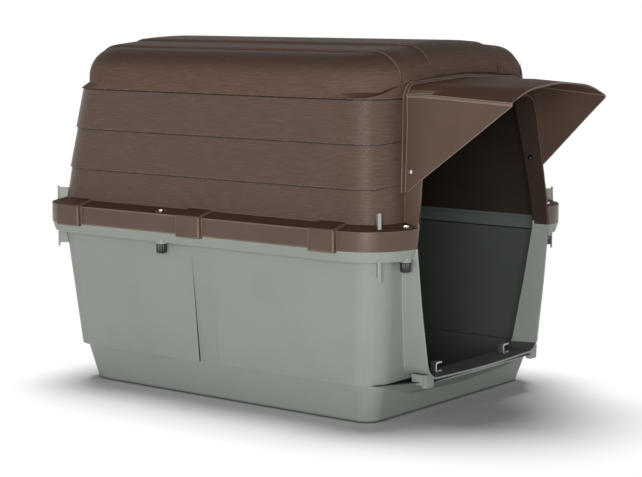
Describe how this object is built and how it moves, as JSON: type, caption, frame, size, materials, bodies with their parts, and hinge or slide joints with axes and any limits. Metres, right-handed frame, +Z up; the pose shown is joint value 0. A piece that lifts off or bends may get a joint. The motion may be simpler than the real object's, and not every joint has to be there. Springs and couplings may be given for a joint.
{
  "type": "dog house",
  "caption": "Large plastic dog house: tub with raised door frame and sloping sill, lift-off lid with lapped boards and crowned roof, bolted joint flange, small awning over the doorway",
  "frame": {"origin": "middle of the footprint at floor level", "axes": "+X to the right seen from in front of the door, +Y to the rear, +Z up; the door faces -Y"},
  "size_m": [0.77, 1.145, 0.7719],
  "materials": {
    "tub_plastic": "fine-grained moulding",
    "lid_plastic": "moulded wood grain",
    "nut_plastic": "moulded ribs",
    "bolt_metal": "satin",
    "catch_metal": "satin"
  },
  "bodies": {
    "tub": {"base_shell": "tub_plastic", "sill_catch_left": "catch_metal", "sill_catch_right": "catch_metal"},
    "lid": {"lid_shell": "lid_plastic", "awning": "lid_plastic", "flange_bolts": "bolt_metal", "awning_bolts": "bolt_metal", "awning_nuts": "nut_plastic"},
    "nut_front_left_body": {"nut_front_left": "nut_plastic"},
    "nut_front_right_body": {"nut_front_right": "nut_plastic"},
    "nut_rear_left_body": {"nut_rear_left": "nut_plastic"},
    "nut_rear_right_body": {"nut_rear_right": "nut_plastic"},
    "nut_side_left_body": {"nut_side_left": "nut_plastic"},
    "nut_side_right_body": {"nut_side_right": "nut_plastic"}
  },
  "joints": [
    {"name": "lid_lift", "type": "slide", "parent": "tub", "child": "lid", "axis": [0, 0, 1], "range_m": [0, 0.15]},
    {"name": "nut_front_left_turn", "type": "hinge", "parent": "tub", "child": "nut_front_left_body", "pos_m": [-0.27, -0.47, 0.3277], "axis": [0, 0, 1], "continuous": true},
    {"name": "nut_front_right_turn", "type": "hinge", "parent": "tub", "child": "nut_front_right_body", "pos_m": [0.27, -0.47, 0.3277], "axis": [0, 0, 1], "continuous": true},
    {"name": "nut_rear_left_turn", "type": "hinge", "parent": "tub", "child": "nut_rear_left_body", "pos_m": [-0.27, 0.47, 0.3277], "axis": [0, 0, 1], "continuous": true},
    {"name": "nut_rear_right_turn", "type": "hinge", "parent": "tub", "child": "nut_rear_right_body", "pos_m": [0.27, 0.47, 0.3277], "axis": [0, 0, 1], "continuous": true},
    {"name": "nut_side_left_turn", "type": "hinge", "parent": "tub", "child": "nut_side_left_body", "pos_m": [-0.36, 0.105, 0.3277], "axis": [0, 0, 1], "continuous": true},
    {"name": "nut_side_right_turn", "type": "hinge", "parent": "tub", "child": "nut_side_right_body", "pos_m": [0.36, 0.105, 0.3277], "axis": [0, 0, 1], "continuous": true}
  ]
}
